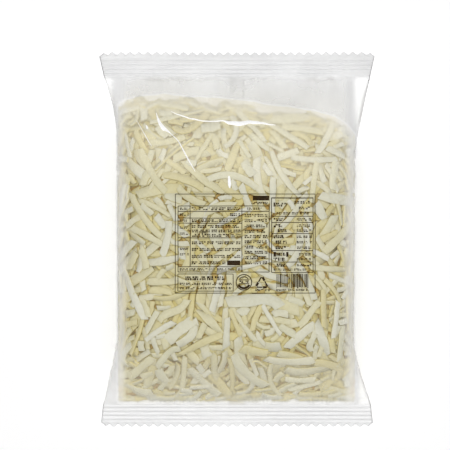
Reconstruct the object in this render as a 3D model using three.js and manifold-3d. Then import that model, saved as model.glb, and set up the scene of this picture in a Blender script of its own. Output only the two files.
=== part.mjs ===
// Pillow bag of clear film, filled with shredded cheese and lying on its back.
//
// The film is a tube with a seam down its back, crimped shut at both ends. It doesn't stretch, so every
// section of the bag has the tube's own girth: where the bag is wide it is thin, and where it is full it
// draws in. The clear, shut bag is one solid, film and contents together.
//
// Millimetres. +X runs across the bag, +Y towards the top seal and +Z up. The origin is on the surface that
// the bag lies on, under the middle of its outline.

import * as THREE from "three";
import { mergeVertices } from "three/addons/utils/BufferGeometryUtils.js";
import Module from "manifold-3d";

// The film tube
const FLAT_WIDTH = 221.6; // width of the tube pressed flat, which is half its girth
const LENGTH = 301.6; // between the tips of the teeth at the two ends

// The crimped seals: ribs next to the bag, then a plain strip with a toothed edge
const SEAL_THICKNESS = 0.8;
const RIB_COUNT = 4;
const RIB_HEIGHT = 0.45;
const TOOTH_COUNT = 30;
const TOOTH_DEPTH = 2.2;
const SEAL_LAP = 1.5; // how far the seal's solid reaches into the bag
const TOP_SEAL = { height: 19.2, ribPitch: 3.5, outerHalf: 110.8, innerHalf: 107.2, lift: 11, droop: 4.5 };
const BOTTOM_SEAL = { height: 17.6, ribPitch: 3.3, outerHalf: 109.2, innerHalf: 107.6, lift: 15, droop: 6 };
const SEAL_WAVE = 1.6; // how far the loose edge of a seal waves up and down

// The outline of the filled body, from the bag's middle line to each side edge
const BODY_EDGE = {
  left: { top: 96.4, bottom: 95.0 },
  right: { top: 95.4, bottom: 92.6 },
};
// Next to each seal the body flares out to the seal's width, over this length and with this curve
const FLARE = {
  left: { top: { length: 52, power: 2.0 }, bottom: { length: 54, power: 1.05 } },
  right: { top: { length: 60, power: 1.25 }, bottom: { length: 54, power: 1.3 } },
};

// The section of the body
const TOP_ROUNDNESS = 5; // 2 is an ellipse, and more is flatter with tighter sides
const BOTTOM_ROUNDNESS = 9;
const GIRTH_IN_CREASES = 4; // millimetres of the girth that the film's small creases take up
const SHARE_BELOW_EDGE = 0.42; // of the thickness, how much lies below the side edge
const SEAT_DEPTH = 1.2; // how far the rounded underside is pressed flat by the surface
const OPENING = { top: 50, bottom: 36 }; // distance from a seal at which the bag has its full thickness
const OPENING_POWER = 0.85; // below 1 the films part more sharply at the seal
const REST_REACH = { top: 42, bottom: 32 }; // distance from a seal at which the underside meets the surface

// The soft dents of the loose top film: how deep, and how long and broad each wave is
const DENTS = [
  { depth: 0.9, alongX: 74, alongY: 118, start: 0.6 },
  { depth: 0.6, alongX: -47, alongY: 63, start: 2.1 },
  { depth: 0.4, alongX: 31, alongY: -39, start: 4.4 },
];

// The lengthwise seam, folded flat against the back, and the groove along its loose edge
const SEAM_WIDTH = 12;
const SEAM_THICKNESS = 0.5;
const GROOVE_WIDTH = 1.2;
const GROOVE_DEPTH = 0.5;

// How finely the surfaces are divided
const SHEET_STEPS = 30; // across the upper film, and again across the lower
const LENGTH_STEPS = 46;
const SECTION_SAMPLES = 96;
const RIB_STEPS = 6;
const SEAL_STEPS = 12;

const TOP_LINE = LENGTH / 2 - TOP_SEAL.height; // where the body meets the top seal
const BOTTOM_LINE = -LENGTH / 2 + BOTTOM_SEAL.height;

const wasm = await Module();
wasm.setup();

const smoothstep = (t) => THREE.MathUtils.smoothstep(t, 0, 1);

// Distance from the body's side edge to its middle line, at y
function sideEdge(side, y) {
  const share = (y - BOTTOM_LINE) / (TOP_LINE - BOTTOM_LINE);
  const body = THREE.MathUtils.lerp(BODY_EDGE[side].bottom, BODY_EDGE[side].top, share);
  const top = FLARE[side].top;
  const bottom = FLARE[side].bottom;
  const towardsTop = Math.max(0, 1 - (TOP_LINE - y) / top.length);
  const towardsBottom = Math.max(0, 1 - (y - BOTTOM_LINE) / bottom.length);
  const topFlare = (TOP_SEAL.innerHalf - body) * towardsTop ** top.power;
  const bottomFlare = (BOTTOM_SEAL.innerHalf - body) * towardsBottom ** bottom.power;
  return body + topFlare + bottomFlare;
}

// A quarter of the section's outline as [across, up], each from 0 to 1, from the side edge to the middle
function quarterPoint(turn, roundness) {
  const cosine = Math.max(0, Math.cos((turn * Math.PI) / 2));
  return [cosine ** (2 / roundness), Math.sin((turn * Math.PI) / 2)];
}

// Length of the section's outline, for a body of this half width and thickness
function girth(half, thickness) {
  const quarter = (height, roundness) => {
    let sum = 0;
    let last = quarterPoint(0, roundness);
    for (let i = 1; i <= SECTION_SAMPLES; i++) {
      const next = quarterPoint(i / SECTION_SAMPLES, roundness);
      sum += Math.hypot((next[0] - last[0]) * half, (next[1] - last[1]) * height);
      last = next;
    }
    return sum;
  };
  const above = quarter(thickness * (1 - SHARE_BELOW_EDGE), TOP_ROUNDNESS);
  const below = quarter(thickness * SHARE_BELOW_EDGE, BOTTOM_ROUNDNESS);
  return 2 * (above + below);
}

// The thickness at which a body of this half width uses up the tube's girth
function fullThickness(half) {
  let low = 0;
  let high = FLAT_WIDTH / 2;
  while (high - low > 0.01) {
    const middle = (low + high) / 2;
    if (girth(half, middle) < 2 * FLAT_WIDTH - GIRTH_IN_CREASES) low = middle;
    else high = middle;
  }
  return (low + high) / 2;
}

// Everything that the section at y needs
function section(y) {
  const left = sideEdge("left", y);
  const right = sideEdge("right", y);
  const fromTop = TOP_LINE - y;
  const fromBottom = y - BOTTOM_LINE;
  const opening = (distance, reach) => {
    const turn = (Math.min(1, distance / reach) * Math.PI) / 2;
    return Math.sin(turn) ** OPENING_POWER;
  };
  const open = opening(fromTop, OPENING.top) * opening(fromBottom, OPENING.bottom);
  const thickness = Math.max(SEAL_THICKNESS / 2, fullThickness((left + right) / 2) * open);
  const topLift = TOP_SEAL.lift * (1 - smoothstep(fromTop / REST_REACH.top));
  const bottomLift = BOTTOM_SEAL.lift * (1 - smoothstep(fromBottom / REST_REACH.bottom));
  const base = topLift + bottomLift - SEAT_DEPTH * open - SEAL_THICKNESS / 4;
  return { y, left, right, thickness, base, open };
}

function dent(x, y) {
  const waves = DENTS.map((d) => d.depth * Math.sin(2 * Math.PI * (x / d.alongX + y / d.alongY) + d.start));
  return waves.reduce((sum, wave) => sum + wave, 0);
}

// Height of the underside's lowest line at y
function undersideHeight(y) {
  return Math.max(0, section(y).base);
}

// One sheet of a section, from one side edge to the other, in steps of equal length
function sheetPoints(s, upper) {
  const roundness = upper ? TOP_ROUNDNESS : BOTTOM_ROUNDNESS;
  const edgeHeight = s.base + s.thickness * SHARE_BELOW_EDGE;
  const reach = upper ? s.thickness * (1 - SHARE_BELOW_EDGE) : -s.thickness * SHARE_BELOW_EDGE;
  const points = [];
  for (let i = 0; i <= 2 * SECTION_SAMPLES; i++) {
    const rightHalf = i <= SECTION_SAMPLES;
    const turn = rightHalf ? i / SECTION_SAMPLES : 2 - i / SECTION_SAMPLES;
    const [across, up] = quarterPoint(turn, roundness);
    const x = rightHalf ? across * s.right : -across * s.left;
    const dented = upper ? dent(x, s.y) * up ** 2 * s.open : 0;
    const z = Math.max(0, edgeHeight + reach * up + dented);
    points.push(new THREE.Vector3(x, s.y, z));
  }
  const path = new THREE.CurvePath();
  for (let i = 1; i < points.length; i++) path.add(new THREE.LineCurve3(points[i - 1], points[i]));
  return path.getSpacedPoints(SHEET_STEPS);
}

// A closed ring: over the top from the right edge to the left, then back underneath
function ring(y) {
  const s = section(y);
  const over = sheetPoints(s, true);
  const under = sheetPoints(s, false).reverse();
  return [...over.slice(0, -1), ...under.slice(0, -1)];
}

// A closed solid through rings that all have the same number of points
function loft(rings) {
  const count = rings[0].length;
  const positions = rings.flat().flatMap((p) => [p.x, p.y, p.z]);
  const faces = [];
  const quad = (a, b, c, d) => faces.push(a, b, c, a, c, d);
  for (let j = 0; j + 1 < rings.length; j++) {
    for (let i = 0; i < count; i++) {
      const next = (i + 1) % count;
      quad(j * count + i, (j + 1) * count + i, (j + 1) * count + next, j * count + next);
    }
  }
  const lastRing = (rings.length - 1) * count;
  const half = count / 2;
  for (let i = 0; i < half; i++) {
    // The end caps are strips between each ring's upper and lower points
    const a = i;
    const b = i + 1;
    const c = (count - i - 1) % count;
    const d = (count - i) % count;
    if (d !== a) faces.push(a, b, d, lastRing + a, lastRing + d, lastRing + b);
    if (b !== c) faces.push(d, b, c, lastRing + d, lastRing + c, lastRing + b);
  }
  const geometry = new THREE.BufferGeometry();
  geometry.setAttribute("position", new THREE.Float32BufferAttribute(positions, 3));
  geometry.setIndex(faces);
  return geometry;
}

// A manifold-3d solid from a closed three.js geometry
function solidOf(geometry) {
  const bare = geometry.clone();
  bare.deleteAttribute("normal");
  bare.deleteAttribute("uv");
  const merged = mergeVertices(bare, 1e-4);
  return new wasm.Manifold(
    new wasm.Mesh({
      numProp: 3,
      vertProperties: merged.attributes.position.array,
      triVerts: new Uint32Array(merged.index.array),
    }),
  );
}

function geometryOf(solid) {
  const mesh = solid.getMesh();
  const geometry = new THREE.BufferGeometry();
  geometry.setAttribute("position", new THREE.BufferAttribute(mesh.vertProperties, 3));
  geometry.setIndex(new THREE.BufferAttribute(mesh.triVerts, 1));
  geometry.computeVertexNormals();
  return geometry;
}

function filledBody() {
  const rings = [];
  for (let j = 0; j <= LENGTH_STEPS; j++) {
    // Stations crowd together next to the seals, where the shape changes fastest
    const eased = 0.5 - 0.5 * Math.cos((Math.PI * j) / LENGTH_STEPS);
    const share = THREE.MathUtils.lerp(j / LENGTH_STEPS, eased, 0.6);
    rings.push(ring(THREE.MathUtils.lerp(BOTTOM_LINE, TOP_LINE, share)));
  }
  return solidOf(loft(rings));
}

// How high the seal's own middle surface stands over the seal line, at this distance out from the bag
function crimpHeight(out, seal) {
  const ribbed = out > 0 && out < RIB_COUNT * seal.ribPitch;
  return ribbed ? RIB_HEIGHT * Math.sin((2 * Math.PI * out) / seal.ribPitch) : 0;
}

// The corrugated strip: its profile runs out from the bag in X and up in Y, drawn along the seal in Z
function crimpedStrip(seal) {
  const outs = [-SEAL_LAP, 0];
  for (let i = 1; i <= RIB_COUNT * RIB_STEPS; i++) outs.push((i * seal.ribPitch) / RIB_STEPS);
  outs.push(seal.height + 1);
  const upper = outs.map((out) => new THREE.Vector2(out, crimpHeight(out, seal) + SEAL_THICKNESS / 2));
  const lower = outs.map((out) => new THREE.Vector2(out, crimpHeight(out, seal) - SEAL_THICKNESS / 2));
  const profile = new THREE.Shape([...lower, ...upper.reverse()]);
  const width = 2 * seal.outerHalf + 2;
  const strip = new THREE.ExtrudeGeometry(profile, { depth: width, steps: SEAL_STEPS, bevelEnabled: false });
  strip.translate(0, 0, -width / 2);
  strip.applyMatrix4(new THREE.Matrix4().makeBasis(
    new THREE.Vector3(0, 1, 0),
    new THREE.Vector3(0, 0, 1),
    new THREE.Vector3(1, 0, 0),
  ));
  return solidOf(strip);
}

// The seal's outline seen from above, with its toothed outer edge, as a tall prism
function toothedPrism(seal) {
  const outline = new THREE.Shape();
  const tall = 20;
  outline.moveTo(-seal.innerHalf + SEAL_LAP, -SEAL_LAP);
  outline.lineTo(seal.innerHalf - SEAL_LAP, -SEAL_LAP);
  outline.lineTo(seal.innerHalf, SEAL_LAP / 3);
  outline.lineTo(seal.outerHalf, seal.height - 1.5 * TOOTH_DEPTH);
  for (let i = 2 * TOOTH_COUNT - 1; i >= 1; i--) {
    const x = THREE.MathUtils.lerp(-seal.outerHalf, seal.outerHalf, i / (2 * TOOTH_COUNT));
    outline.lineTo(x, i % 2 ? seal.height : seal.height - TOOTH_DEPTH);
  }
  outline.lineTo(-seal.outerHalf, seal.height - 1.5 * TOOTH_DEPTH);
  outline.lineTo(-seal.innerHalf, SEAL_LAP / 3);
  outline.closePath();
  const prism = new THREE.ExtrudeGeometry(outline, { depth: tall, bevelEnabled: false });
  prism.translate(0, 0, -tall / 2);
  return solidOf(prism);
}

// A crimped seal that droops and waves towards its loose edge, with its seal line along y = 0
function crimpedSeal(seal) {
  const geometry = geometryOf(crimpedStrip(seal).intersect(toothedPrism(seal)));
  const position = geometry.attributes.position;
  for (let i = 0; i < position.count; i++) {
    const out = Math.max(0, position.getY(i) / seal.height);
    const wave = SEAL_WAVE * Math.sin((3 * Math.PI * position.getX(i)) / FLAT_WIDTH + seal.lift);
    const height = position.getZ(i) + seal.lift - seal.droop * out + wave * out;
    position.setZ(i, height);
  }
  return geometry;
}

function topSeal() {
  return solidOf(crimpedSeal(TOP_SEAL).translate(0, TOP_LINE, 0));
}

function bottomSeal() {
  return solidOf(crimpedSeal(BOTTOM_SEAL).rotateZ(Math.PI).translate(0, BOTTOM_LINE, 0));
}

// A strip along the underside from one seal line to the other. Its faces are at two heights measured from
// the underside, and it reaches no lower than the floor it's given.
function undersideStrip({ left, right, from, to, floor }) {
  const rings = [];
  for (let j = 0; j <= LENGTH_STEPS; j++) {
    const y = THREE.MathUtils.lerp(BOTTOM_LINE, TOP_LINE, j / LENGTH_STEPS);
    const low = Math.max(floor, undersideHeight(y) + from);
    const high = undersideHeight(y) + to;
    rings.push([
      new THREE.Vector3(right, y, high),
      new THREE.Vector3(left, y, high),
      new THREE.Vector3(left, y, low),
      new THREE.Vector3(right, y, low),
    ]);
  }
  return solidOf(loft(rings));
}

// The seam runs down the middle of the back, and where the bag lies on it it's pressed in flush
function backSeam() {
  const half = SEAM_WIDTH / 2;
  return undersideStrip({ left: -half, right: half, from: -SEAM_THICKNESS, to: SEAM_THICKNESS, floor: 0 });
}

function seamGroove() {
  const right = -SEAM_WIDTH / 2;
  return undersideStrip({ left: right - GROOVE_WIDTH, right, from: -1, to: GROOVE_DEPTH, floor: -1 });
}

const film = new THREE.MeshStandardMaterial({
  color: 0xd9d4b8,
  roughness: 0.3,
  metalness: 0,
});
const seamedBody = filledBody().add(backSeam()).subtract(seamGroove());
const bag = new THREE.Mesh(geometryOf(seamedBody.add(topSeal()).add(bottomSeal())), film);
bag.name = "bag";

const group = new THREE.Group();
group.add(bag);

export default group;
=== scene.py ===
"""A clear pillow bag of shredded cheese, lying on its back on a pale floor, seen from straight above.

The film, its creases and its print, the shreds and the core that they cover are made here around the
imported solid, which they replace. Lengths are in millimetres, as in the solid's own description, until a
mesh is written, and places that come from the photograph are pixels of its 450 x 450 frame.
"""

import functools
import math

import bpy
import numpy as np
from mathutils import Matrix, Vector


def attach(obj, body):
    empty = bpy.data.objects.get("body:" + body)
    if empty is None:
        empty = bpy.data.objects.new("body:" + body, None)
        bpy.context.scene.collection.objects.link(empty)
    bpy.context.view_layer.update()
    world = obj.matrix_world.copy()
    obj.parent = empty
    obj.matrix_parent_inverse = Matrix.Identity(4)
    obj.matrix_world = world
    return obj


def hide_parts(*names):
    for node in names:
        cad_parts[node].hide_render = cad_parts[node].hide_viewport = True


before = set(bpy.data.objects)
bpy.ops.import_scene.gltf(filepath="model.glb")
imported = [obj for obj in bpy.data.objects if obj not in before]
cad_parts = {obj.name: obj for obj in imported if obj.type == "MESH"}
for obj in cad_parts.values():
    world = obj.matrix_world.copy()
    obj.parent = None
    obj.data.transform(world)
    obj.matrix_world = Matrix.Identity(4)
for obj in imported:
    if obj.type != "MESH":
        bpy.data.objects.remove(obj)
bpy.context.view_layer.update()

MM = 0.001
SEED = 41

# The photograph's frame
PIXEL = 0.8  # millimetres across one pixel
BAG_PX = (237.0, 239.5)  # the bag's own middle
FRAME_PX = 450

# The film tube and its seals, as in the solid
FLAT_WIDTH = 221.6
LENGTH = 301.6
GIRTH_IN_CREASES = 4.0
TOOTH_COUNT = 30
TOOTH_DEPTH = 2.0
# A seal's shade is its painted grey shade, darker on the upper seal
TOP_SEAL = dict(height=19.2, pitch=3.5, outer=110.8, inner=107.2, lift=11.0, droop=4.5, shade=0.67)
BOTTOM_SEAL = dict(height=17.6, pitch=3.3, outer=109.2, inner=107.6, lift=15.0, droop=6.0, shade=0.76)
SEAL_WAVE = 1.6
SEAL_FILM = 0.5  # thickness of the two plies, a little more than real so that both show
RIB_COUNT = 4
RIB_HEIGHT = 0.5
BODY_EDGE = dict(left=(95.0, 96.4), right=(92.6, 95.4))  # at the bottom and at the top
# How far the corners flare out to the seals, as (length, power), at the bottom and at the top
FLARE = dict(left=((54, 1.05), (52, 2.0)), right=((54, 1.3), (60, 1.25)))
TOP_ROUNDNESS = 5.0
BOTTOM_ROUNDNESS = 9.0
SHARE_BELOW_EDGE = 0.42
SEAT_DEPTH = 1.2
OPENING = dict(top=50.0, bottom=36.0)
OPENING_POWER = 0.85
REST_REACH = dict(top=42.0, bottom=32.0)
DENTS = ((0.9, 74, 118, 0.6), (0.6, -47, 63, 2.1), (0.4, 31, -39, 4.4))
SEAL_PLY = 0.4  # thickness of the bag where a seal begins
LEAST_SKIN_HEIGHT = 0.05
LEAST_FILM_HEIGHT = 0.02

TOP_LINE = LENGTH / 2 - TOP_SEAL["height"]
BOTTOM_LINE = -LENGTH / 2 + BOTTOM_SEAL["height"]


def smoothstep(t):
    t = np.clip(t, 0.0, 1.0)
    return t * t * (3 - 2 * t)


def rise(value, start, run):
    """0 up to the start and 1 from the end of the run on, smoothly. A negative run rises the other way."""
    return smoothstep((value - start) / run)


def mix(a, b, t):
    return a + (b - a) * t


def unit(vectors):
    return vectors / np.linalg.norm(vectors, axis=-1, keepdims=True)


def largest(*values):
    """The largest of several arrays or numbers, place by place."""
    return functools.reduce(np.maximum, values)


def from_px(px, py):
    """The place on the bag, in millimetres, under a pixel of the photograph."""
    return (np.asarray(px) - BAG_PX[0]) * PIXEL, (BAG_PX[1] - np.asarray(py)) * PIXEL


def to_px(x, y):
    return np.asarray(x) / PIXEL + BAG_PX[0], BAG_PX[1] - np.asarray(y) / PIXEL


# ---- the bag's surface


def side_edge(side, y):
    """Distance from the body's side edge to its middle line."""
    low, high = BODY_EDGE[side]
    body = mix(low, high, (y - BOTTOM_LINE) / (TOP_LINE - BOTTOM_LINE))
    (bottom_length, bottom_power), (top_length, top_power) = FLARE[side]
    near_top = np.maximum(0, 1 - (TOP_LINE - y) / top_length) ** top_power
    near_bottom = np.maximum(0, 1 - (y - BOTTOM_LINE) / bottom_length) ** bottom_power
    return body + (TOP_SEAL["inner"] - body) * near_top + (BOTTOM_SEAL["inner"] - body) * near_bottom


def quarter(roundness, samples=140):
    """A quarter of a section's outline, as distances across and up, each from 0 to 1."""
    turn = np.linspace(0, 1, samples) * math.pi / 2
    return np.clip(np.cos(turn), 0, 1) ** (2 / roundness), np.sin(turn)


def girth(half, thickness):
    """Length of the film round a section, by its half width and its thickness."""
    total = 0.0
    for roundness, share in ((TOP_ROUNDNESS, 1 - SHARE_BELOW_EDGE), (BOTTOM_ROUNDNESS, SHARE_BELOW_EDGE)):
        across, up = quarter(roundness)
        total += 2 * np.hypot(np.diff(across) * half, np.diff(up) * thickness * share).sum()
    return total


def thickness_for(half):
    """The thickness at which a body of this half width uses up the tube's girth."""
    low, high = 0.0, FLAT_WIDTH / 2
    while high - low > 0.01:
        middle = (low + high) / 2
        if girth(half, middle) < 2 * FLAT_WIDTH - GIRTH_IN_CREASES:
            low = middle
        else:
            high = middle
    return (low + high) / 2


HALF_TABLE = np.linspace(88, 112, 25)  # half widths, for which the thicknesses are worked out once
THICKNESS_TABLE = np.array([thickness_for(h) for h in HALF_TABLE])


def opening(distance, reach):
    """How far the tube is opened up at a distance from one seal line, 0 to 1."""
    return np.sin(np.clip(distance / reach, 0, 1) * math.pi / 2) ** OPENING_POWER


def dent(x, y):
    """Broad waves of the upper side."""
    total = np.zeros(np.broadcast(x, y).shape)
    for depth, along_x, along_y, start in DENTS:
        total = total + depth * np.sin(2 * math.pi * (x / along_x + y / along_y) + start)
    return total


def opened_at(y):
    """How far the tube is opened up, from 0 at a seal line to 1."""
    return opening(TOP_LINE - y, OPENING["top"]) * opening(y - BOTTOM_LINE, OPENING["bottom"])


def section_at(y):
    """A section's reach to the left and to the right, its thickness and the height of its side edges."""
    left, right = side_edge("left", y), side_edge("right", y)
    opened = opened_at(y)
    thickness = np.maximum(SEAL_PLY, np.interp((left + right) / 2, HALF_TABLE, THICKNESS_TABLE) * opened)
    lift = TOP_SEAL["lift"] * (1 - smoothstep((TOP_LINE - y) / REST_REACH["top"]))
    lift = lift + BOTTOM_SEAL["lift"] * (1 - smoothstep((y - BOTTOM_LINE) / REST_REACH["bottom"]))
    base = lift - SEAT_DEPTH * opened - SEAL_PLY / 2
    return left, right, thickness, base + thickness * SHARE_BELOW_EDGE


def ring(y, steps):
    """A section's points: over the top from the right edge to the left, then back underneath."""
    left, right, thickness, edge_height = section_at(y)
    opened = opened_at(y)
    sheets = []
    for roundness, reach, is_top in (
        (TOP_ROUNDNESS, thickness * (1 - SHARE_BELOW_EDGE), True),
        (BOTTOM_ROUNDNESS, -thickness * SHARE_BELOW_EDGE, False),
    ):
        across, up = quarter(roundness)
        x = np.concatenate([across * right, -across[-2::-1] * left])
        bulge = np.concatenate([up, up[-2::-1]])
        z = edge_height + reach * bulge
        if is_top:
            z = z + dent(x, y) * bulge**2 * opened
        z = np.maximum(LEAST_SKIN_HEIGHT, z)
        along = np.concatenate([[0], np.cumsum(np.hypot(np.diff(x), np.diff(z)))])
        even = np.linspace(0, along[-1], steps + 1)
        even_x, even_z = np.interp(even, along, x), np.interp(even, along, z)
        sheets.append(np.stack([even_x, np.full(steps + 1, y), even_z], 1))
    over, under = sheets[0], sheets[1][::-1]
    return np.concatenate([over[:-1], under[:-1]])


class Skin:
    """The bag's surface between its seals, by (u, y): u runs from 0 at the right edge over the top to 1 at
    the left edge and on underneath to 2, and y runs along the bag."""

    STEPS = 200
    STATIONS = 200
    MARGIN = 0.2  # from the outermost sections to the seal lines

    def __init__(self):
        self.y0 = BOTTOM_LINE + self.MARGIN
        self.y1 = TOP_LINE - self.MARGIN
        self.ys = np.linspace(self.y0, self.y1, self.STATIONS)
        self.place = np.stack([ring(y, self.STEPS) for y in self.ys])
        du = 1 / self.STEPS
        dy = self.ys[1] - self.ys[0]
        wide = np.concatenate([self.place[:, -1:], self.place, self.place[:, :1]], 1)
        self.along_u = (wide[:, 2:] - wide[:, :-2]) / (2 * du)
        self.along_y = np.gradient(self.place, dy, axis=0)
        self.normal = unit(np.cross(self.along_y, self.along_u))

    def look(self, grid, u, y):
        """Bilinear reading of one of the grids."""
        column = np.mod(np.asarray(u, float), 2.0) * self.STEPS
        row = np.clip((np.asarray(y, float) - self.y0) / (self.y1 - self.y0), 0, 1) * (self.STATIONS - 1)
        c0 = np.floor(column).astype(int)
        r0 = np.minimum(np.floor(row).astype(int), self.STATIONS - 2)
        fc, fr = (column - c0)[..., None], (row - r0)[..., None]
        c0, c1 = c0 % (2 * self.STEPS), (c0 + 1) % (2 * self.STEPS)
        low = mix(grid[r0, c0], grid[r0, c1], fc)
        high = mix(grid[r0 + 1, c0], grid[r0 + 1, c1], fc)
        return mix(low, high, fr)

    def at(self, u, y):
        return self.look(self.place, u, y)

    def out(self, u, y):
        return unit(self.look(self.normal, u, y))

    def step(self, u, y, across, along):
        """How far (u, y) moves for a move along the surface, across the bag and along it."""
        pu, py = self.look(self.along_u, u, y), self.look(self.along_y, u, y)
        e1 = -unit(pu)
        e2 = np.cross(self.out(u, y), e1)
        move = across[..., None] * e1 + along[..., None] * e2
        e, f, g = (pu * pu).sum(-1), (pu * py).sum(-1), (py * py).sum(-1)
        a, b = (move * pu).sum(-1), (move * py).sum(-1)
        det = np.maximum(e * g - f * f, 1e-6)
        return (a * g - b * f) / det, (b * e - a * f) / det

    def u_of_x(self, x, y):
        """Where on the upper side a point (x, y) seen from above is."""
        x, y = np.broadcast_arrays(np.asarray(x, float), np.asarray(y, float))
        flat_x, flat_y = x.ravel(), y.ravel()
        row = (flat_y - self.y0) / (self.y1 - self.y0) * (self.STATIONS - 1)
        rows = np.clip(np.rint(row), 0, self.STATIONS - 1)
        u = np.zeros(flat_x.shape)
        scale = np.linspace(0, 1, self.STEPS + 1)
        for row in np.unique(rows.astype(int)):
            here = rows == row
            xs = self.place[row, : self.STEPS + 1, 0][::-1]
            u[here] = np.interp(flat_x[here], xs, scale[::-1])
        return u.reshape(x.shape)


skin = Skin()

# ---- noise


class Noise:
    """Smooth seeded noise of (a, b), about -1 to 1, as a sum of waves in many directions."""

    LENGTHS = (0.7, 1.6)  # of its waves, as shares of its size

    def __init__(self, seed, size, waves=14):
        rng = np.random.default_rng(seed)
        angle = rng.uniform(0, math.pi, waves)
        length = size * rng.uniform(*self.LENGTHS, waves)
        self.ka = 2 * math.pi * np.cos(angle) / length
        self.kb = 2 * math.pi * np.sin(angle) / length
        self.start = rng.uniform(0, 2 * math.pi, waves)
        self.scale = math.sqrt(2 / waves)

    def __call__(self, a, b):
        a, b = np.asarray(a, float)[..., None], np.asarray(b, float)[..., None]
        return np.sin(a * self.ka + b * self.kb + self.start).sum(-1) * self.scale


# ---- where the cheese is

# The uneven upper limit of the cheese in the photograph
FILL_TOP_PX = ((118, 108), (124, 104), (140, 100), (162, 98), (200, 101), (232, 103), (262, 109), (290, 111),
               (315, 115), (334, 121), (346, 128), (356, 140))
FILL_BOTTOM = BOTTOM_LINE + 1.8
FILL_HALF = dict(left=95.5, right=95.0)  # the flares of the film beyond these stay empty
END_RUN = 3.0  # how much further up the bag the heap's foot reaches than its top
END_NOISES = ((1.3, Noise(SEED + 1, 26)), (0.9, Noise(SEED + 6, 9)))  # ups and downs of its end


def fill_top(x):
    """How far up the bag the cheese reaches, by and large."""
    px, py = np.transpose(FILL_TOP_PX)
    return from_px(0, np.interp(to_px(x, 0)[0], px, py))[1]


def fill_limit(x):
    """The same as a row of the photograph's pixels."""
    return to_px(0, fill_top(x))[1]


def heap_end(x):
    """How far up the bag the heap really reaches, with its small ups and downs."""
    x = np.clip(x, -FILL_HALF["left"], FILL_HALF["right"])
    end = fill_top(x)
    for height, noise in END_NOISES:
        end = end + height * noise(x, 0 * x)
    return end


def in_fill(x, y, is_top, beyond=0.0):
    """Whether shreds may lie at this place on the film, or so far beyond the heap's end."""
    end = heap_end(x) - np.where(is_top, END_RUN, 1.0) + beyond
    return (y < end) & (y > FILL_BOTTOM + 0.5)


# ---- meshes from arrays


def make_mesh(name, points, quads, attributes=None, sharp=None):
    """An object from points in millimetres and four-cornered faces. sharp tells, from the numbers of its two
    points, whether an edge is a hard one."""
    mesh = bpy.data.meshes.new(name)
    points = np.asarray(points, np.float32).reshape(-1, 3) * MM
    quads = np.asarray(quads, np.int32).reshape(-1, 4)
    mesh.vertices.add(len(points))
    mesh.vertices.foreach_set("co", points.ravel())
    mesh.loops.add(quads.size)
    mesh.loops.foreach_set("vertex_index", quads.ravel())
    mesh.polygons.add(len(quads))
    mesh.polygons.foreach_set("loop_start", np.arange(0, quads.size, 4, dtype=np.int32))
    mesh.polygons.foreach_set("use_smooth", np.full(len(quads), True))
    for key, values in (attributes or {}).items():
        attribute = mesh.attributes.new(key, "FLOAT", "POINT")
        attribute.data.foreach_set("value", np.asarray(values, np.float32).ravel())
    mesh.update(calc_edges=True)
    if sharp:
        ends = np.zeros(2 * len(mesh.edges), np.int32)
        mesh.edges.foreach_get("vertices", ends)
        hard = mesh.attributes.new("sharp_edge", "BOOLEAN", "EDGE")
        hard.data.foreach_set("value", sharp(ends[0::2], ends[1::2]))
    mesh.validate()
    thing = bpy.data.objects.new(name, mesh)
    bpy.context.scene.collection.objects.link(thing)
    return thing


def grid_quads(rows, columns, wrap=True):
    """Faces between the points of a grid, which may close on itself along its rows."""
    j, i = np.meshgrid(np.arange(rows - 1), np.arange(columns if wrap else columns - 1), indexing="ij")
    row, next_row, right = j * columns, (j + 1) * columns, (i + 1) % columns
    return np.stack([row + i, next_row + i, next_row + right, row + right], -1).reshape(-1, 4)


def flat_tube_quads(rows, columns, first, count):
    """Faces of a flat tube, and at each end so many that join its plies, from the first point on."""
    last = (rows - 1) * columns
    ends = []
    for i in range(first, first + count):
        a, b, c, d = i, i + 1, columns - i - 2 + first, columns - i - 1 + first
        ends += [(a, b, c, d), (last + d, last + c, last + b, last + a)]
    return np.concatenate([grid_quads(rows, columns), np.array(ends)])


# ---- the film

SHEET_STEPS = 150  # across each side of the film, five to a tooth
BODY_RINGS = 172
CROWDED = 0.35  # how far the body's rings crowd towards the seals, 0 to 1
RIB_RINGS = 36  # of each seal, over its ribs
EDGE_RINGS = 8  # and from there out to its teeth
SEAL_START = 0.25
SEAL_CORNER = 3.4  # length of a seal's slanted corners
CORNER_SLOPE = 0.95
EAR_START = 0.97  # share of the half width from which the toothed edge is cut back
EAR_CUT = 30
TOOTH_ZONE = 4.5  # over which a seal's edge turns from straight to toothed
BUMP_HEIGHT = 0.42  # of the film over the shreds
FINE_BUMP_HEIGHT = 0.12
SLACK_HEIGHT = 0.9
PLEAT_HEIGHT = 0.75
PLEAT_REACH = 15
SLACK_CHANGE = (-6, 14)  # the film turns slack over this change, from where the cheese ends
SLACK_STRETCH = (1.3, 0.5)
PLEAT_STRETCH = 1.5
MORE_PLEATS = 0.4  # so that most of the pleats stand out
SLACK_BELOW, PLEATS_BELOW = 90, 50  # other places of the noises, for the underside
RELIEF_FADE, PLEAT_FADE = 6, 4  # to nothing, over the last millimetres before a seal
RIB_STRENGTH, RIB_STRENGTH_SPREAD, RIB_STRENGTH_LIMITS = 0.85, 0.35, (0.3, 1.2)

bump_noise = Noise(SEED + 2, 15)
fine_noise = Noise(SEED + 3, 7)
slack_noise = Noise(SEED + 4, 46)
pleat_noise = Noise(SEED + 5, 17)


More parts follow.
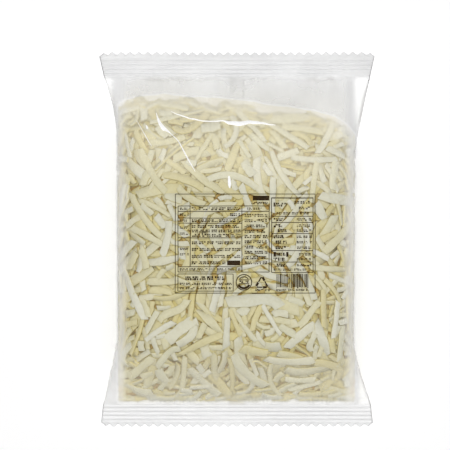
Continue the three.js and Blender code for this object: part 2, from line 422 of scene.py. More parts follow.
def film_relief(x, y, top_side):
    """How far the film stands off the plain surface: bumps over the shreds, slack folds where it's empty."""
    empty = rise(y - fill_top(x), *SLACK_CHANGE)
    bumps = BUMP_HEIGHT * (0.5 + 0.5 * np.clip(bump_noise(x, y), -1, 1))
    bumps = bumps + FINE_BUMP_HEIGHT * fine_noise(x, y)
    stretch_x, stretch_y = SLACK_STRETCH
    slack = SLACK_HEIGHT * slack_noise(x * stretch_x, y * stretch_y + np.where(top_side, 0, SLACK_BELOW))
    to_seal = np.minimum(TOP_LINE - y, y - BOTTOM_LINE)
    fade = PLEAT_HEIGHT * np.exp(-np.maximum(0, to_seal) / PLEAT_REACH)
    pleats = fade * (MORE_PLEATS + pleat_noise(x * PLEAT_STRETCH, np.where(top_side, 0, PLEATS_BELOW)))
    relief = mix(bumps, slack, empty)
    return relief * smoothstep(to_seal / RELIEF_FADE) + pleats * smoothstep(to_seal / PLEAT_FADE)


def tooth_profile(share):
    """Depth of the toothed edge below its tips, 0 to 1, with flat-topped teeth."""
    return smoothstep(0.5 - 0.5 * np.cos(2 * math.pi * share * TOOTH_COUNT))


def seal_rings(seal, line, way):
    """Rings of a seal that points up (1) or down (-1) the bag from its line, in order up the bag."""
    height, ribbed_to = seal["height"], RIB_COUNT * seal["pitch"]
    ribs = np.linspace(SEAL_START, ribbed_to, RIB_RINGS)
    edge = np.linspace(ribbed_to, height, EDGE_RINGS + 1)
    share = np.linspace(0, 1, SHEET_STEPS + 1)
    rings = []
    for out in np.concatenate([ribs, edge[1:]]):
        half = mix(seal["inner"], seal["outer"], min(1, out / (height - SEAL_CORNER)))
        half = half - max(0, out - (height - SEAL_CORNER)) * CORNER_SLOPE
        x = mix(half, -half, share)
        toothed = rise(out, height - TOOTH_ZONE, TOOTH_ZONE)
        y = out - TOOTH_DEPTH * tooth_profile(share) * toothed
        y = y - np.maximum(0, np.abs(share - 0.5) * 2 - EAR_START) * EAR_CUT * toothed
        ribbed = RIB_HEIGHT * np.sin(2 * math.pi * out / seal["pitch"]) * (out < ribbed_to)
        fade = np.clip(RIB_STRENGTH + RIB_STRENGTH_SPREAD * slack_noise(x, out * 3), *RIB_STRENGTH_LIMITS)
        wave = SEAL_WAVE * np.sin(3 * math.pi * x / FLAT_WIDTH + seal["lift"])
        z = seal["lift"] + ribbed * fade + (wave - seal["droop"]) * max(0, y.max()) / height
        upper = np.stack([x, line + way * y, z + SEAL_FILM / 2], 1)
        lower = np.stack([x, line + way * y, z - SEAL_FILM / 2], 1)[::-1]
        rings.append(np.concatenate([upper[:-1], lower[:-1]]))
    return rings[::way]


# How milky the film looks, over places in the photograph's pixels. Each change is (haze, start, run).
LEAST_HAZE = 0.06
SEAL_HAZE = 0.66
SIDE_HAZE = 0.28
LESS_BELOW = 0.6  # share of that which the underside lacks
UNDERSIDE = -0.4  # slope below which the film belongs to the underside
# Changes over the film's slope, from 1 facing up to -1 facing down
UPWARD, DOWNWARD = (0, 0.4), (-0.15, -0.5)
# Down from the upper limit of the cheese: three on the shown side, and one on the underside
# The underside's thick grey milkiness over the empty part is painted shade, for the film's missing shadow
UPPER_HAZES = ((0.30, 100, -44), (0.56, 44, -40), (0.62, 15, -11), (0.97, 34, -20))
EMPTY_HAZE = 0.20
EMPTY_CHANGE = (-1, -8)  # also counted from that limit
# At the left and right rim, over the lower part and at its end
RIM_HAZES = ((0.64, 133, -13), (0.74, 337, 15), (0.30, 335, 40), (0.58, 394, 12))
CLEAR_OVER_LABEL = 0.7
CLEAR_IN_FLARE = 0.55
FOLD_HAZE = 0.75

# Painted light and shade on the milkiness: 1 lit by the cheese, 0.9 white, less grey. Changes are (start,
# run).
# Painted white sheen of the film at the rims, where its sides catch the light
RIM_SHADE = 0.93
LEFT_RIM, RIGHT_RIM, BOTTOM_RIM = (132, -12), (330, 18), (390, 12)
# Painted grey shade of the film over the empty parts
EMPTY_SHADE = 0.73
ABOVE_CHANGES = ((-3, -3), (30, -8))  # on the shown side and on the underside, from that limit
FLARE_CHANGES = ((118.5, -3), (354.5, 3))
# Painted white highlight on the flares, and painted grey shade along their folded edges
FLARE_SHADE = 0.9
FOLD_SHADE = 0.62

# Empty corners that catch the light, as changes across the bag and along it
BRIGHT_FLARES = (((115, -8), (104, -10)), ((351, 10), (134, -14)), ((356, 6), (345, 14)))
FOLD_CHANGE = (0.4, 1.0)  # from the edge in, in millimetres
FOLD_STRENGTH = dict(left=0.5, right=1.0)

# Zones round the print: left, top, right and bottom limit, and run
CLEARER_ZONE = (168, 186, 322, 300, 10)
# Behind the browner zone the gaps get more painted shade
BROWNER_ZONE = (172, 192, 318, 296, 8)


def in_zone(px, py, left, top, right, bottom, run):
    """1 well within these limits, and 0 beyond them."""
    return rise(px, left, run) * rise(px, right, -run) * rise(py, top, run) * rise(py, bottom, -run)


def bright_flare(px, py):
    """Where the empty corners of the film catch the light, as in the photograph."""
    # Mask of the film's painted highlight there
    return largest(*[rise(px, *across) * rise(py, *along) for across, along in BRIGHT_FLARES])


def folded_edge(x, y):
    """Where an empty corner of the film folds over at its edge: a thin grey line of painted shade."""
    on_right = np.asarray(x) > 0
    edge = np.where(on_right, side_edge("right", y), side_edge("left", y))
    line = 1 - rise(edge - np.abs(x), *FOLD_CHANGE)
    strength = np.where(on_right, FOLD_STRENGTH["right"], FOLD_STRENGTH["left"])
    return line * strength * bright_flare(*to_px(x, y))


def haze_at(x, y, up):
    """How milky the film looks: clear where it's pressed on the shreds, milky where it stands off them."""
    px, py = to_px(x, y)
    limit = fill_limit(x)
    upward, downward = rise(up, *UPWARD), rise(up, *DOWNWARD)
    left, right, lower, bottom = (
        most * rise(value, start, run) for value, (most, start, run) in zip((px, px, py, py), RIM_HAZES)
    )
    wide, near, nearest, underside = (
        most * rise(py, limit + start, run) for most, start, run in UPPER_HAZES
    )
    shown = mix(largest(near, nearest), EMPTY_HAZE, rise(py, limit + EMPTY_CHANGE[0], EMPTY_CHANGE[1]))
    side_on = SIDE_HAZE * (1 - upward) * (1 - LESS_BELOW * downward)
    haze = largest(LEAST_HAZE, wide, mix(shown, underside, downward), lower, side_on)
    haze = largest(haze, left * upward, right * upward, bottom * upward)
    haze = haze * (1 - CLEAR_OVER_LABEL * in_zone(px, py, *CLEARER_ZONE))
    # Clearer in the flares, for their painted highlight, and milky along their folded edges, for its painted
    # shade
    haze = haze * (1 - CLEAR_IN_FLARE * bright_flare(px, py))
    return np.maximum(haze, FOLD_HAZE * folded_edge(x, y))


def shade_at(x, y, up):
    """Painted brightness of the milky film: lit from below by the cheese, and duller over the empty parts.
    """
    px, py = to_px(x, y)
    shown, underside = (rise(py, fill_limit(x) + start, run) for start, run in ABOVE_CHANGES)
    above = np.where(up > UNDERSIDE, shown, underside)
    empty = largest(above, *[rise(px, *change) for change in FLARE_CHANGES])
    rim = largest(rise(px, *LEFT_RIM), rise(px, *RIGHT_RIM), rise(py, *BOTTOM_RIM))
    shade = mix(mix(1.0, RIM_SHADE, rim), EMPTY_SHADE, empty)
    # Painted white highlight on the flares and painted grey shade along their folded edges
    return mix(mix(shade, FLARE_SHADE, bright_flare(px, py)), FOLD_SHADE, folded_edge(x, y))


TOP_BLEND = 4  # millimetres over which the body's look passes into the seal's
BOTTOM_BLEND = 3


def make_film():
    """The closed film: the lower seal, the body and the upper seal as one tube of rings."""
    crowd = 0.5 - 0.5 * np.cos(np.linspace(0, math.pi, BODY_RINGS))
    body_y = mix(np.linspace(BOTTOM_LINE, TOP_LINE, BODY_RINGS), mix(BOTTOM_LINE, TOP_LINE, crowd), CROWDED)
    columns = 2 * SHEET_STEPS
    u = np.arange(columns) / SHEET_STEPS
    rings = [(place, SEAL_HAZE, BOTTOM_SEAL["shade"]) for place in seal_rings(BOTTOM_SEAL, BOTTOM_LINE, -1)]
    for y in body_y:
        place = ring(y, SHEET_STEPS)
        x, along = place[:, 0], np.full(columns, y)
        normal = skin.out(u, along)
        place = place + normal * film_relief(x, y, u < 1)[:, None]
        place[:, 2] = np.maximum(place[:, 2], LEAST_FILM_HEIGHT)
        at_top = rise(y - TOP_LINE, -TOP_BLEND, TOP_BLEND)
        at_bottom = rise(y, BOTTOM_LINE + BOTTOM_BLEND, -BOTTOM_BLEND)
        haze = mix(haze_at(x, along, normal[:, 2]), SEAL_HAZE, max(at_top, at_bottom))
        shade = mix(shade_at(x, y, normal[:, 2]), TOP_SEAL["shade"], at_top)
        rings.append((place, haze, mix(shade, BOTTOM_SEAL["shade"], at_bottom)))
    rings += [(place, SEAL_HAZE, TOP_SEAL["shade"]) for place in seal_rings(TOP_SEAL, TOP_LINE, 1)]
    places, hazes, shades = zip(*rings)
    values = {"haze": [np.broadcast_to(h, columns) for h in hazes],
              "shade": [np.broadcast_to(s, columns) for s in shades]}
    quads = flat_tube_quads(len(rings), columns, 1, SHEET_STEPS - 2)
    return make_mesh("film", places, quads, values)


SEAM_HALF = 6.0
SEAM_THICK = 0.4
SEAM_ACROSS = 7  # points across it
SEAM_STATIONS = 110
SEAM_MARGIN = 0.5  # from its ends to the seal lines
SEAM_HAZE = dict(full=0.42, empty=0.12)
SEAM_CHANGE = (-12, 8)


def make_seam():
    """The lengthwise seam along the middle of the back, a flat folded strip."""
    ys = np.linspace(BOTTOM_LINE + SEAM_MARGIN, TOP_LINE - SEAM_MARGIN, SEAM_STATIONS)
    x = np.linspace(-1, 1, SEAM_ACROSS) * SEAM_HALF
    steps = 2 * SHEET_STEPS
    rows = []
    for y in ys:
        under = ring(y, steps)[steps:]
        z = np.interp(x, under[:, 0], under[:, 2])
        along = np.full(SEAM_ACROSS, y)
        inner = np.stack([x, along, z + SEAM_THICK / 4], 1)
        outer = np.stack([x, along, np.maximum(LEAST_FILM_HEIGHT, z - SEAM_THICK)], 1)
        rows.append(np.concatenate([inner, outer[::-1]]))
    columns = 2 * SEAM_ACROSS
    # Its shade paints it warm over the cheese and grey over the empty part, as on the film
    empty = np.repeat(rise(ys - fill_top(0), *SEAM_CHANGE), columns)
    haze = mix(SEAM_HAZE["full"], SEAM_HAZE["empty"], empty)
    quads = flat_tube_quads(SEAM_STATIONS, columns, 0, SEAM_ACROSS - 1)
    return make_mesh("film_seam", rows, quads, {"haze": haze, "shade": mix(1.0, EMPTY_SHADE, empty)})


# ---- the shreds

CORE_DEPTH = 8.6  # of the body behind the shreds, below the film
DEEPEST = CORE_DEPTH + 3.5
RINGS = 9  # along a shred
FINE = 3  # depth samples between two rings
ACROSS = np.array([-0.5, -0.25, 0, 0.25, 0.5])  # depth samples across a shred
# Corners of a shred's section: to which side and face, and whether it's on the flat face or the cut side
CORNER_SIGNS = (
    (1, 1, 0), (1, 1, 1), (-1, 1, 1), (-1, 1, 0),
    (-1, -1, 0), (-1, -1, 1), (1, -1, 1), (1, -1, 0),
)
CORNERS = len(CORNER_SIGNS)


class Heap:
    """Shreds packed in from the film. Space under the film is counted in small cells, and each shred takes
    the place nearest to the film where it hardly runs into the ones already there."""

    CELL = 1.4
    LAYER = 0.6
    LAYERS = 25
    NEAREST = 0.4
    ROOM = 0.46  # share of the bag's thickness that shreds packed in from one side may take up

    def __init__(self, seed):
        self.rng = np.random.default_rng(seed)
        self.nu = int(2 * FLAT_WIDTH / self.CELL)
        self.ny = int((TOP_LINE - BOTTOM_LINE) / self.CELL)
        self.taken = np.zeros((self.ny, self.nu, self.LAYERS), bool)
        self.sums = np.zeros((self.ny, self.nu, self.LAYERS + 1), np.int16)
        ys = BOTTOM_LINE + (np.arange(self.ny) + 0.5) * self.CELL
        self.room = np.minimum(DEEPEST, self.ROOM * section_at(ys)[2])
        self.cell_u, self.cell_y = np.meshgrid((np.arange(self.nu) + 0.5) / self.nu * 2, ys)

    def cells(self, u, y):
        """Rows and columns of the cells at these points."""
        i = np.mod((np.mod(u, 2.0) / 2 * self.nu).astype(int), self.nu)
        j = np.clip(((y - BOTTOM_LINE) / self.CELL).astype(int), 0, self.ny - 1)
        return j, i

    def settle(self, u, y, thick, steepest, overlap):
        """Depth along a shred that covers the points (u, y), given as lines across it, or None."""
        j, i = self.cells(u, y)
        along = np.linspace(0, 1, u.shape[0])
        starts = self.NEAREST + np.arange(0, CORE_DEPTH, self.LAYER)
        slopes = np.array([0, *self.rng.uniform(-steepest, steepest, 3)])
        depth = starts[:, None, None] + slopes[:, None] * along + np.maximum(0, -slopes)[:, None]
        low = (depth / self.LAYER).astype(int)[..., None]
        high = np.ceil((depth + thick) / self.LAYER).astype(int)[..., None]
        fits = (depth + thick < self.room[j[:, 0]]).all(-1) & (high < self.LAYERS).all((-1, -2))
        if not fits.any():
            return None
        low, high = np.minimum(low, self.LAYERS), np.minimum(high, self.LAYERS)
        shared = (self.sums[j, i, high] - self.sums[j, i, low]).sum((-1, -2))
        share = shared / np.maximum(1, (high - low).sum((-1, -2)) * j.shape[1])
        good = fits & (share < overlap)
        if not good.any():
            return None
        start, slope = np.argwhere(good)[0]
        chosen = depth[start, slope]
        levels = np.arange(self.LAYERS)
        filled = (levels >= low[start, slope][..., None]) & (levels < high[start, slope][..., None])
        self.taken[j, i] |= np.broadcast_to(filled, (*j.shape, self.LAYERS))
        self.sums[j, i, 1:] = np.cumsum(self.taken[j, i], -1)
        return chosen


LONGEST, SHORTEST = 48, 10
STEEPEST = 0.16  # share of a shred's length by which its depth may change from end to end
USUAL_WIDTH, WIDTH_SPREAD, WIDTH_LIMITS = 4.8, 0.26, (2.8, 7.8)
THICKNESS = (1.4, 2.2)
BROAD_SHARE, BROAD_WIDTH, BROAD_THICKNESS = 0.07, (6.2, 8.6), (1.3, 1.8)
LENGTH_SHARES = (0.55, 1.0)  # of the longest that is tried
BEYOND_END = (-1.0, 3.0)  # how far past the heap's end a shred may reach
# Turns in radians: how much each shred has, and what share of them has so much more
USUAL_BEND, STRONG_BEND, HOOK = 0.42, (0.14, 1.0), (0.25, 0.9)
USUAL_TILT, STRONG_TILT = 0.10, (0.12, 0.6)
USUAL_TWIST, STRONG_TWIST = 0.25, (0.10, 0.9)
HOOK_START = 0.6


def some(rng, count, share, spread):
    """A random turn for that share of the shreds, and none for the others."""
    return np.where(rng.random(count) < share, rng.normal(0, spread, count), 0)


def shred_paths(rng, middle_u, middle_y, lengths):
    """Curved centre lines on the bag's surface, as (u, y) at every depth sample."""
    count = len(lengths)
    samples = (RINGS - 1) * FINE + 1
    middle = samples // 2
    u, y = np.zeros((2, count, samples))
    u[:, middle], y[:, middle] = middle_u, middle_y
    start = rng.uniform(0, 2 * math.pi, count)
    bend = rng.normal(0, USUAL_BEND, count) + some(rng, count, *STRONG_BEND)
    hook = some(rng, count, *HOOK)
    t = np.linspace(0, 1, samples)
    heading = start[:, None] + bend[:, None] * (t - 0.5)
    heading = heading + hook[:, None] * np.maximum(0, t - HOOK_START) / (1 - HOOK_START)
    step = lengths / (samples - 1)
    for way, others in ((1, range(middle + 1, samples)), (-1, range(middle - 1, -1, -1))):
        for k in others:
            last = k - way
            across, along = way * step * np.cos(heading[:, last]), way * step * np.sin(heading[:, last])
            du, dy = skin.step(u[:, last], y[:, last], across, along)
            u[:, k], y[:, k] = u[:, last] + du, y[:, last] + dy
    return u, y, heading


def shred_sizes(rng, count, longest):
    """Length, width and thickness of each shred."""
    length = rng.uniform(*LENGTH_SHARES, count) * longest
    width = np.clip(rng.lognormal(math.log(USUAL_WIDTH), WIDTH_SPREAD, count), *WIDTH_LIMITS)
    width = width * mix(0.8, 1, (longest - SHORTEST) / (LONGEST - SHORTEST))
    broad = rng.random(count) < BROAD_SHARE
    width = np.where(broad, rng.uniform(*BROAD_WIDTH, count), width)
    thick = np.where(broad, rng.uniform(*BROAD_THICKNESS, count), rng.uniform(*THICKNESS, count))
    return length, width, thick


def pack_batch(rng, heap, middle_u, middle_y, longest, overlap):
    """Tries to place shreds at these middles, and returns those that found room."""
    length, width, thick = shred_sizes(rng, len(middle_u), longest)
    u, y, heading = shred_paths(rng, middle_u, middle_y, length)
    place = skin.at(u, y)
    beyond = rng.uniform(*BEYOND_END, (len(length), 1))
    inside = in_fill(place[..., 0], place[..., 1], np.mod(u, 2) < 1, beyond).all(1)
    du, dy = skin.step(u, y, -np.sin(heading), np.cos(heading))
    kept, depths = [], []
    for n in np.flatnonzero(inside):
        uu = u[n][:, None] + du[n][:, None] * ACROSS * width[n]
        yy = y[n][:, None] + dy[n][:, None] * ACROSS * width[n]
        depth = heap.settle(uu, yy, thick[n], STEEPEST * length[n], overlap[n])
        if depth is not None:
            kept.append(n)
            depths.append(depth[::FINE])
    kept = np.array(kept, int)
    return u[kept, ::FINE], y[kept, ::FINE], np.array(depths), width[kept], thick[kept]


PRESSED_WIDER = 1.0  # how much wider a shred is than the room that it was given, so that neighbours touch
PRESSED_THICKER = 0.3
BEVEL = 0.42
UNEVEN_WIDTH = 0.06
WANDER = 0.12
END_SIZE = 0.86
END_SLANT = 0.7
SLANT_LIMIT = 0.55  # share of the space between two rings
SLANT_SHARED = 0.4
# How much a shred's width waves and narrows along it, and its thickness waves
WAIST, WAIST_WAVES, WAIST_SHIFT = 0.10, 1.3, 3
TAPER = 0.30
THICKNESS_WAVE, THICKNESS_TURN = 0.06, 5


def bar_points(rng, surface, normal, depth, width, thick):
    """Corner points of bars that lie so deep under lines on a surface, as (bar, ring, corner, xyz)."""
    count = len(width)
    tilt = rng.normal(0, USUAL_TILT, count) + some(rng, count, *STRONG_TILT)
    twist = rng.normal(0, USUAL_TWIST, count) + some(rng, count, *STRONG_TWIST)
    swell = rng.uniform(-1, 1, (count, 4))
    t = np.linspace(0, 1, RINGS)
    turn = tilt[:, None] + twist[:, None] * (t - 0.5)
    # A bar that leans over sits deeper, so that its edge stays behind the film
    lean = np.abs(np.sin(turn)) * width[:, None] / 2 + np.cos(turn) * thick[:, None] / 2
    centre = surface - normal * (depth + lean)[..., None]
    tangent = np.gradient(centre, axis=1)
    spacing = np.linalg.norm(tangent, axis=-1, keepdims=True)
    tangent = tangent / np.maximum(spacing, 1e-3)
    side = unit(np.cross(tangent, normal))
    up = np.cross(side, tangent)
    cos, sin = np.cos(turn)[..., None], np.sin(turn)[..., None]
    side, up = side * cos + up * sin, up * cos - side * sin
    ends = np.ones(RINGS)
    ends[[0, -1]] = END_SIZE
    waves = np.sin(2 * math.pi * t * WAIST_WAVES + WAIST_SHIFT * swell[:, 1:2])
    waist = 1 + WAIST * swell[:, :1] * waves
    waist = waist + rng.normal(0, UNEVEN_WIDTH, (count, RINGS))
    taper = 1 - TAPER * np.clip(swell[:, 2:3], 0, 1) * t
    half_w = (width / 2)[:, None] * ends * waist * taper
    half_t = (thick / 2)[:, None] * ends * (1 + THICKNESS_WAVE * swell[:, 3:4] * np.cos(THICKNESS_TURN * t))
    half_w, half_t = half_w + PRESSED_WIDER / 2, half_t + PRESSED_THICKER / 2
    bevel = np.minimum(half_w, half_t) * BEVEL
    wander = rng.normal(0, WANDER, (count, RINGS))
    # The ends are cut at a slant, which the next ring shares a little
    slant = np.zeros((count, RINGS))
    slant[:, 0], slant[:, -1] = rng.uniform(-END_SLANT, END_SLANT, (2, count))
    slant[:, 1], slant[:, -2] = SLANT_SHARED * slant[:, 0], SLANT_SHARED * slant[:, -1]
    limit = SLANT_LIMIT * spacing[..., 0]
    corners = []
    for sx, sz, on_face in CORNER_SIGNS:
        w = half_w - bevel if on_face else half_w
        h = half_t if on_face else half_t - bevel
        sheared = np.clip(slant * sx * w, -limit, limit)
        corner = centre + side * (sx * w + wander)[..., None] + up * (sz * h)[..., None]
        corners.append(corner + tangent * sheared[..., None])
    return np.stack(corners, 2)


SIDE_PAINTED_SHADE = 0.26  # painted shade: how much deeper a shred's cut sides look than its flat face
LABEL_PAINTED_SHADE = 0.22  # and the painted shade by which the gaps look browner through the printed part of the film


def painted_depth_shade(depth, thick):
    """How deep in the heap each corner looks, from 0 at the film to about 1, for its painted shade."""
    _, face, on_face = np.transpose(CORNER_SIGNS)
    on_side = SIDE_PAINTED_SHADE * (on_face == 0)
    return (depth[..., None] + thick[:, None, None] * (face < 0)) / DEEPEST + on_side


FILM_GAP = 0.25  # from the film to what lies against it
SEAL_GAP = 0.5  # more than that at the lower seal, over the next few millimetres
SEAL_GAP_REACH = 8
LEAST_HEIGHT = 0.3
LEAST_FROM_SEAL = 3.2
FARTHEST = 8.0  # factor up to which the film is looked for
HALVINGS = 18


def keep_inside(points):
    """Brings shreds in from the empty flares, and points that are outside the film back under it."""
    x = points[..., 0]
    beyond_right = np.maximum(0, x.max((1, 2)) - FILL_HALF["right"])
    beyond_left = np.maximum(0, -FILL_HALF["left"] - x.min((1, 2)))
    x = x + (beyond_left - beyond_right)[:, None, None]
    below = np.maximum(0, BOTTOM_LINE + LEAST_FROM_SEAL - points[..., 1].min((1, 2)))
    y, z = points[..., 1] + below[:, None, None], points[..., 2]
    left, right, thickness, edge_height = section_at(y)
    above = z > edge_height
    power = np.where(above, TOP_ROUNDNESS, BOTTOM_ROUNDNESS)
    half = np.where(x > 0, right, left)
    # Points move along the line from the section's middle plane, straight up or down but near the side edges
    start = np.sign(x) * np.minimum(np.abs(x), half - thickness / 2)
    across, up = x - start, z - edge_height
    reach = thickness * np.where(above, 1 - SHARE_BELOW_EDGE, SHARE_BELOW_EDGE)
    low, high = np.zeros(x.shape), np.full(x.shape, FARTHEST)
    for _ in range(HALVINGS):
        middle = (low + high) / 2
        inside = (np.abs(start + across * middle) / half) ** power + (up * middle / reach) ** 2 < 1
        low, high = np.where(inside, middle, low), np.where(inside, high, middle)
    gap = FILM_GAP + SEAL_GAP * np.exp((BOTTOM_LINE - y) / SEAL_GAP_REACH)
    gap = gap - np.minimum(0, film_relief(x, y, above))
    gap = gap - np.where(above, dent(x, y) * (up * low / reach) ** 2 * opened_at(y), 0)
    factor = np.clip(low - gap / np.maximum(0.5, np.hypot(across, up)), 0, 1)
    return np.stack([start + across * factor, y, np.maximum(LEAST_HEIGHT, edge_height + up * factor)], -1)


END_SHREDS = 480
END_TILT = 0.3
END_TURN = 0.7
END_BOW = 0.10
END_LENGTHS = (14, 32)
END_DEPTH = 5
END_RISE = 45  # length of a shred that would reach from the foot of that face to its top
END_GAP = 2.0  # from a shred's middle line to the film
LEAST_END_GAP = 1.5


def film_heights(x, y):
    """Heights of the bag's underside and of its top over a place."""
    left, right, thickness, edge_height = section_at(y)
    share = np.minimum(1, np.abs(x) / np.where(x > 0, right, left))
    under = thickness * SHARE_BELOW_EDGE * np.sqrt(1 - share**BOTTOM_ROUNDNESS)
    over = thickness * (1 - SHARE_BELOW_EDGE) * np.sqrt(1 - share**TOP_ROUNDNESS)
    return edge_height - under, edge_height + over


def end_batch(rng):
    """Shreds on the heap's open end, a steep face between the two sides of the film."""
    length, width, thick = shred_sizes(rng, END_SHREDS, rng.uniform(*END_LENGTHS, END_SHREDS))
    room = length / 2 + 1
    x = rng.uniform(room - FILL_HALF["left"], FILL_HALF["right"] - room)
    rise_share = rng.uniform(0, 1, (END_SHREDS, 1))
    slant = rng.normal(0, END_TURN, (END_SHREDS, 1))
    bow = rng.normal(0, END_BOW, (END_SHREDS, 1))
    t = np.linspace(-0.5, 0.5, RINGS) * length[:, None]
    line_x = x[:, None] + t * np.cos(slant)
    lean = rise_share + t * np.sin(slant) / END_RISE
    line_y = heap_end(line_x) - END_RUN * np.clip(lean, 0, 1)
    bottom, top = film_heights(line_x, line_y)
    line_z = mix(bottom + END_GAP, top - END_GAP, rise_share) + t * np.sin(slant) + bow * t * t / 8
    line_z = np.clip(line_z, bottom + LEAST_END_GAP, top - LEAST_END_GAP)
    surface = np.stack([line_x, line_y, line_z], -1)
    normal = np.broadcast_to([0, math.cos(END_TILT), math.sin(END_TILT)], surface.shape)
    depth = np.repeat(rng.uniform(0, END_DEPTH, (END_SHREDS, 1)), RINGS, 1)
    return surface, normal, depth, width, thick


SHREDS_TRIED = 18000
OVERLAP = (0.06, 0.24)  # share of itself by which a long and a short shred may run into others
LENGTH_POWER, OVERLAP_POWER = 0.6, 1.5  # how both change from the first shred to the last
FROM_TOP_LINE = 14  # no shred's middle is tried nearer to the upper seal
GAP_ROUNDS = 6
GAP_TRIES = 260
GAP_LENGTHS = (12, 36)
GAP_OVERLAP = 0.42
# How much lighter the painted shade is near the heap's end, and how strong it is on the end's own shreds
LIGHTER_NEAR_END = 0.2
NEAR_END_CHANGE = (-26, 16)
END_PAINTED_SHADE = 0.8


def make_shreds():
    """Packs the shreds, long ones first, then fills the gaps that still show through the whole heap."""
    rng = np.random.default_rng(SEED + 10)
    heap = Heap(SEED + 11)
    share = np.arange(SHREDS_TRIED) / SHREDS_TRIED
    middle_u = rng.uniform(0, 2, SHREDS_TRIED)
    middle_y = rng.uniform(FILL_BOTTOM, TOP_LINE - FROM_TOP_LINE, SHREDS_TRIED)
    longest = mix(LONGEST, SHORTEST, share**LENGTH_POWER)
    overlap = mix(*OVERLAP, share**OVERLAP_POWER)
    batches = [pack_batch(rng, heap, middle_u, middle_y, longest, overlap)]
    places = skin.at(heap.cell_u, heap.cell_y)
    fillable = in_fill(places[..., 0], places[..., 1], heap.cell_u < 1)
    for _ in range(GAP_ROUNDS):
        open_cells = np.argwhere(fillable & ~heap.taken.any(-1))
        if not len(open_cells):
            break
        row, column = open_cells[rng.integers(0, len(open_cells), GAP_TRIES)].T
        middle_u, middle_y = heap.cell_u[row, column], heap.cell_y[row, column]
        longest = rng.uniform(*GAP_LENGTHS, GAP_TRIES)
        batches.append(pack_batch(rng, heap, middle_u, middle_y, longest, np.full(GAP_TRIES, GAP_OVERLAP)))
    batches = [batch for batch in batches if len(batch[0])]
    u, y, depth, width, thick = (np.concatenate(parts) for parts in zip(*batches))
    surface = skin.at(u, y)
    points = bar_points(rng, surface, skin.out(u, y), depth, width, thick)
    # Painted shade: lighter near the heap's end and browner behind the print
    near_end = rise(y - fill_top(0), *NEAR_END_CHANGE)
    behind_label = in_zone(*to_px(surface[..., 0], y), *BROWNER_ZONE) * (np.mod(u, 2) < 1)
    seen = (1 - LIGHTER_NEAR_END * near_end) * (1 + LABEL_PAINTED_SHADE * behind_label)
    deep = painted_depth_shade(depth, thick) * seen[..., None]
    end = end_batch(rng)
    _, _, end_depth, _, end_thick = end
    points = keep_inside(np.concatenate([points, bar_points(rng, *end)]))
    deep = np.concatenate([deep, END_PAINTED_SHADE * painted_depth_shade(end_depth, end_thick)])
    return points, rng.random(len(points)), deep


def shred_faces(count):
    """Faces of that many shreds, each a closed bar of RINGS rings."""
    cap = np.array([(0, 1, 2, 3), (0, 3, 4, 7), (4, 5, 6, 7)])
    one = np.concatenate([grid_quads(RINGS, CORNERS), cap, cap[:, ::-1] + (RINGS - 1) * CORNERS])
    return (one[None] + (np.arange(count) * RINGS * CORNERS)[:, None, None]).reshape(-1, 4)


def is_hard_edge(a, b):
    """Whether an edge runs round one of a shred's cut ends."""
    ring_a, ring_b = a // CORNERS % RINGS, b // CORNERS % RINGS
    return (ring_a == ring_b) & ((ring_a == 0) | (ring_a == RINGS - 1))


points, tint, deep = make_shreds()
SHRED_KINDS = ("shreds_white", "shreds_pale", "shreds_cream", "shreds_butter")
KIND_SHARES = (0.30, 0.28, 0.24, 0.18)
kind = np.random.default_rng(SEED + 12).choice(len(SHRED_KINDS), len(points), p=KIND_SHARES)
shreds = []
for number, name in enumerate(SHRED_KINDS):
    mine = kind == number
    # deep carries each corner's painted shade
    values = {"tint": np.repeat(tint[mine], RINGS * CORNERS), "deep": deep[mine]}
    shreds.append(make_mesh(name, points[mine], shred_faces(mine.sum()), values, is_hard_edge))

film = make_film()
film.visible_shadow = False  # film that looks milky still lets the light through to what's behind it
seam = make_seam()


# ---- the core behind the shreds

CORE_HALF = dict(left=88.6, right=86.6)
CORE_COLUMNS = 180
CORE_STATIONS = 90
CORE_FROM_BOTTOM = 7
CORE_FROM_END = 12
CORE_TOP_AT, CORE_FROM_TOP = -40.0, 5  # its end lies so far below the cheese's limit at this x
CORE_REACH = (-90, 88)  # that limit isn't looked up farther out than here
CORE_SHARE = 0.30  # of the thickness, where the bag is thin
FULL_THICKNESS = 54
LEAST_CORE_DEPTH = 0.5
CAP_SIZES = (0.98, 0.6, 0.3)  # of the smaller and smaller rings that close its ends
CORE_NOISES = ((0.9, Noise(SEED + 20, 9)), (0.4, Noise(SEED + 21, 4.5)))


def make_core():
    """A closed bumpy body behind the shreds, which shows only in the deepest gaps."""
    top = float(fill_top(CORE_TOP_AT)) - CORE_FROM_TOP
    ys = np.linspace(FILL_BOTTOM + CORE_FROM_BOTTOM, top, CORE_STATIONS)
    u, y = np.meshgrid(np.arange(CORE_COLUMNS) / (CORE_COLUMNS / 2), ys)
    y = np.minimum(y, fill_top(np.clip(skin.at(u, y)[..., 0], *CORE_REACH)) - CORE_FROM_END)
    place = skin.at(u, y)
    spot = place[..., 0], y + place[..., 2]
    relief = sum(height * noise(*spot) for height, noise in CORE_NOISES)
    depth = np.minimum(CORE_DEPTH, CORE_SHARE * FULL_THICKNESS * opened_at(y)) + relief
    points = place - skin.out(u, y) * np.maximum(LEAST_CORE_DEPTH, depth)[..., None]
    points[..., 0] = np.clip(points[..., 0], -CORE_HALF["left"], CORE_HALF["right"])
    first, last = (end.mean(1, keepdims=True) for end in (points[:1], points[-1:]))
    shrunk = [mix(points[:1], first, s) for s in CAP_SIZES]
    closed = [mix(points[-1:], last, s) for s in reversed(CAP_SIZES)]
    points = np.concatenate([*shrunk, points, *closed])
    return make_mesh("core", points, grid_quads(len(points), CORE_COLUMNS))


core = make_core()


# ---- print and creases on the film

PRINT_LIFT = 0.28
INK_STEP = 2.5  # longest piece of a printed bar
LINE = 0.72  # width of the print's lines, in pixels
